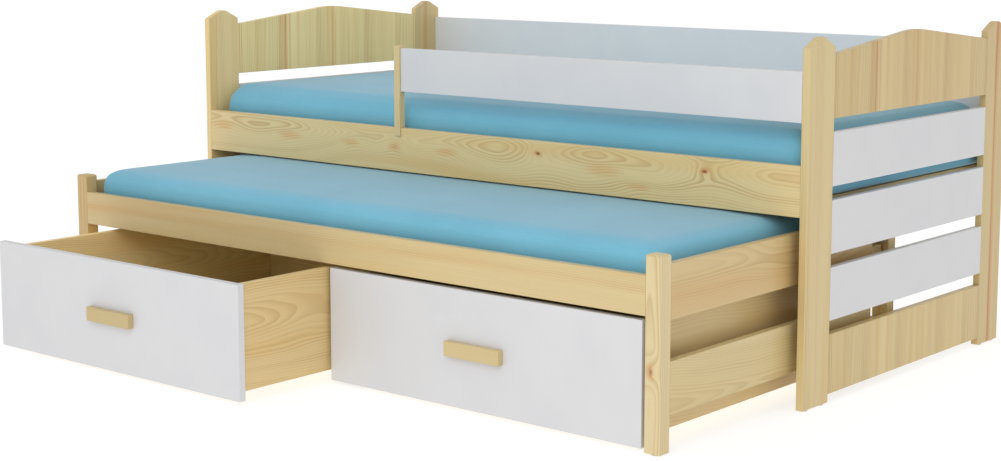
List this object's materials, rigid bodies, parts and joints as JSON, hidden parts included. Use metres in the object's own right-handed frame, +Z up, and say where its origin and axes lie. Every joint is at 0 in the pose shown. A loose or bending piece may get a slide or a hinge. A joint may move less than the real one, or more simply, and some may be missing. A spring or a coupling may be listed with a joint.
{
  "type": "trundle bed",
  "caption": "Pine single bed with a white back, slatted ends and a guard; a second bed slides out from below it, with drawers on castors underneath.",
  "frame": {"origin": "on the floor, at the middle of the whole bed as it stands with the trundle and the left drawer pulled out", "axes": "+X along the bed's length towards its right end, +Z up, -Y the side that the trundle and the drawers pull out to"},
  "size_m": [1.946, 1.728, 0.8178],
  "materials": {
    "lacquered_pine": "clear satin lacquer on solid pine with knots",
    "raw_pine": "planed, unlacquered pine",
    "pine_drawer": "clear matt lacquer on planed pine",
    "pine_handle": "clear satin lacquer",
    "white_board": "smooth matt white coating on board",
    "mattress_cover": "stretched sky-blue woven cotton cover",
    "zinc_steel": "zinc-plated pressed steel",
    "pale_nylon": "pale moulded nylon",
    "nylon": "dark grey moulded nylon"
  },
  "bodies": {
    "bed_frame": {"post_front_left": "lacquered_pine", "post_rear_left": "lacquered_pine", "post_front_right": "lacquered_pine", "post_rear_right": "lacquered_pine", "crest_panel_left": "lacquered_pine", "crest_panel_right": "lacquered_pine", "end_slats_left": "white_board", "end_slats_right": "white_board", "foot_panel_left": "lacquered_pine", "foot_panel_right": "lacquered_pine", "end_dowels": "raw_pine", "front_rail": "lacquered_pine", "rear_rail": "lacquered_pine", "back_panel": "white_board", "guard_upright": "lacquered_pine", "guard_panel": "white_board", "bed_ledgers": "raw_pine", "bed_slats": "raw_pine", "rail_brackets": "zinc_steel", "post_glides": "pale_nylon", "main_mattress": "mattress_cover"},
    "trundle": {"trundle_leg_front_left": "lacquered_pine", "trundle_leg_rear_left": "lacquered_pine", "trundle_leg_front_right": "lacquered_pine", "trundle_leg_rear_right": "lacquered_pine", "trundle_front_rail": "lacquered_pine", "trundle_rear_rail": "lacquered_pine", "trundle_upper_end_rail_left": "lacquered_pine", "trundle_upper_end_rail_right": "lacquered_pine", "trundle_lower_end_rail_left": "lacquered_pine", "trundle_lower_end_rail_right": "lacquered_pine", "trundle_end_battens": "raw_pine", "trundle_ledgers": "raw_pine", "trundle_slats": "raw_pine", "trundle_glides": "pale_nylon", "trundle_mattress": "mattress_cover"},
    "drawer_left": {"drawer_left_front": "white_board", "drawer_left_handle": "pine_handle", "drawer_left_side_a": "pine_drawer", "drawer_left_side_b": "pine_drawer", "drawer_left_back": "pine_drawer", "drawer_left_bottom": "pine_drawer", "drawer_left_castors": "zinc_steel"},
    "drawer_right": {"drawer_right_front": "white_board", "drawer_right_handle": "pine_handle", "drawer_right_side_a": "pine_drawer", "drawer_right_side_b": "pine_drawer", "drawer_right_back": "pine_drawer", "drawer_right_bottom": "pine_drawer", "drawer_right_castors": "zinc_steel"},
    "drawer_left_wheel_1": {"drawer_left_wheel_1": "nylon"},
    "drawer_left_wheel_2": {"drawer_left_wheel_2": "nylon"},
    "drawer_left_wheel_3": {"drawer_left_wheel_3": "nylon"},
    "drawer_left_wheel_4": {"drawer_left_wheel_4": "nylon"},
    "drawer_right_wheel_1": {"drawer_right_wheel_1": "nylon"},
    "drawer_right_wheel_2": {"drawer_right_wheel_2": "nylon"},
    "drawer_right_wheel_3": {"drawer_right_wheel_3": "nylon"},
    "drawer_right_wheel_4": {"drawer_right_wheel_4": "nylon"}
  },
  "joints": [
    {"name": "trundle_slide", "type": "slide", "parent": "bed_frame", "child": "trundle", "axis": [0, -1, 0], "range_m": [-0.48, 0.42]},
    {"name": "drawer_left_slide", "type": "slide", "parent": "trundle", "child": "drawer_left", "axis": [0, -1, 0], "range_m": [-0.276, 0.324]},
    {"name": "drawer_right_slide", "type": "slide", "parent": "trundle", "child": "drawer_right", "axis": [0, -1, 0], "range_m": [0, 0.6]},
    {"name": "drawer_left_wheel_1_roll", "type": "hinge", "parent": "drawer_left", "child": "drawer_left_wheel_1", "pos_m": [-0.699, -0.72, 0.0125], "axis": [1, 0, 0], "continuous": true},
    {"name": "drawer_left_wheel_2_roll", "type": "hinge", "parent": "drawer_left", "child": "drawer_left_wheel_2", "pos_m": [-0.1165, -0.72, 0.0125], "axis": [1, 0, 0], "continuous": true},
    {"name": "drawer_left_wheel_3_roll", "type": "hinge", "parent": "drawer_left", "child": "drawer_left_wheel_3", "pos_m": [-0.699, -0.12, 0.0125], "axis": [1, 0, 0], "continuous": true},
    {"name": "drawer_left_wheel_4_roll", "type": "hinge", "parent": "drawer_left", "child": "drawer_left_wheel_4", "pos_m": [-0.1165, -0.12, 0.0125], "axis": [1, 0, 0], "continuous": true},
    {"name": "drawer_right_wheel_1_roll", "type": "hinge", "parent": "drawer_right", "child": "drawer_right_wheel_1", "pos_m": [0.1915, -0.444, 0.0125], "axis": [1, 0, 0], "continuous": true},
    {"name": "drawer_right_wheel_2_roll", "type": "hinge", "parent": "drawer_right", "child": "drawer_right_wheel_2", "pos_m": [0.774, -0.444, 0.0125], "axis": [1, 0, 0], "continuous": true},
    {"name": "drawer_right_wheel_3_roll", "type": "hinge", "parent": "drawer_right", "child": "drawer_right_wheel_3", "pos_m": [0.1915, 0.156, 0.0125], "axis": [1, 0, 0], "continuous": true},
    {"name": "drawer_right_wheel_4_roll", "type": "hinge", "parent": "drawer_right", "child": "drawer_right_wheel_4", "pos_m": [0.774, 0.156, 0.0125], "axis": [1, 0, 0], "continuous": true}
  ]
}
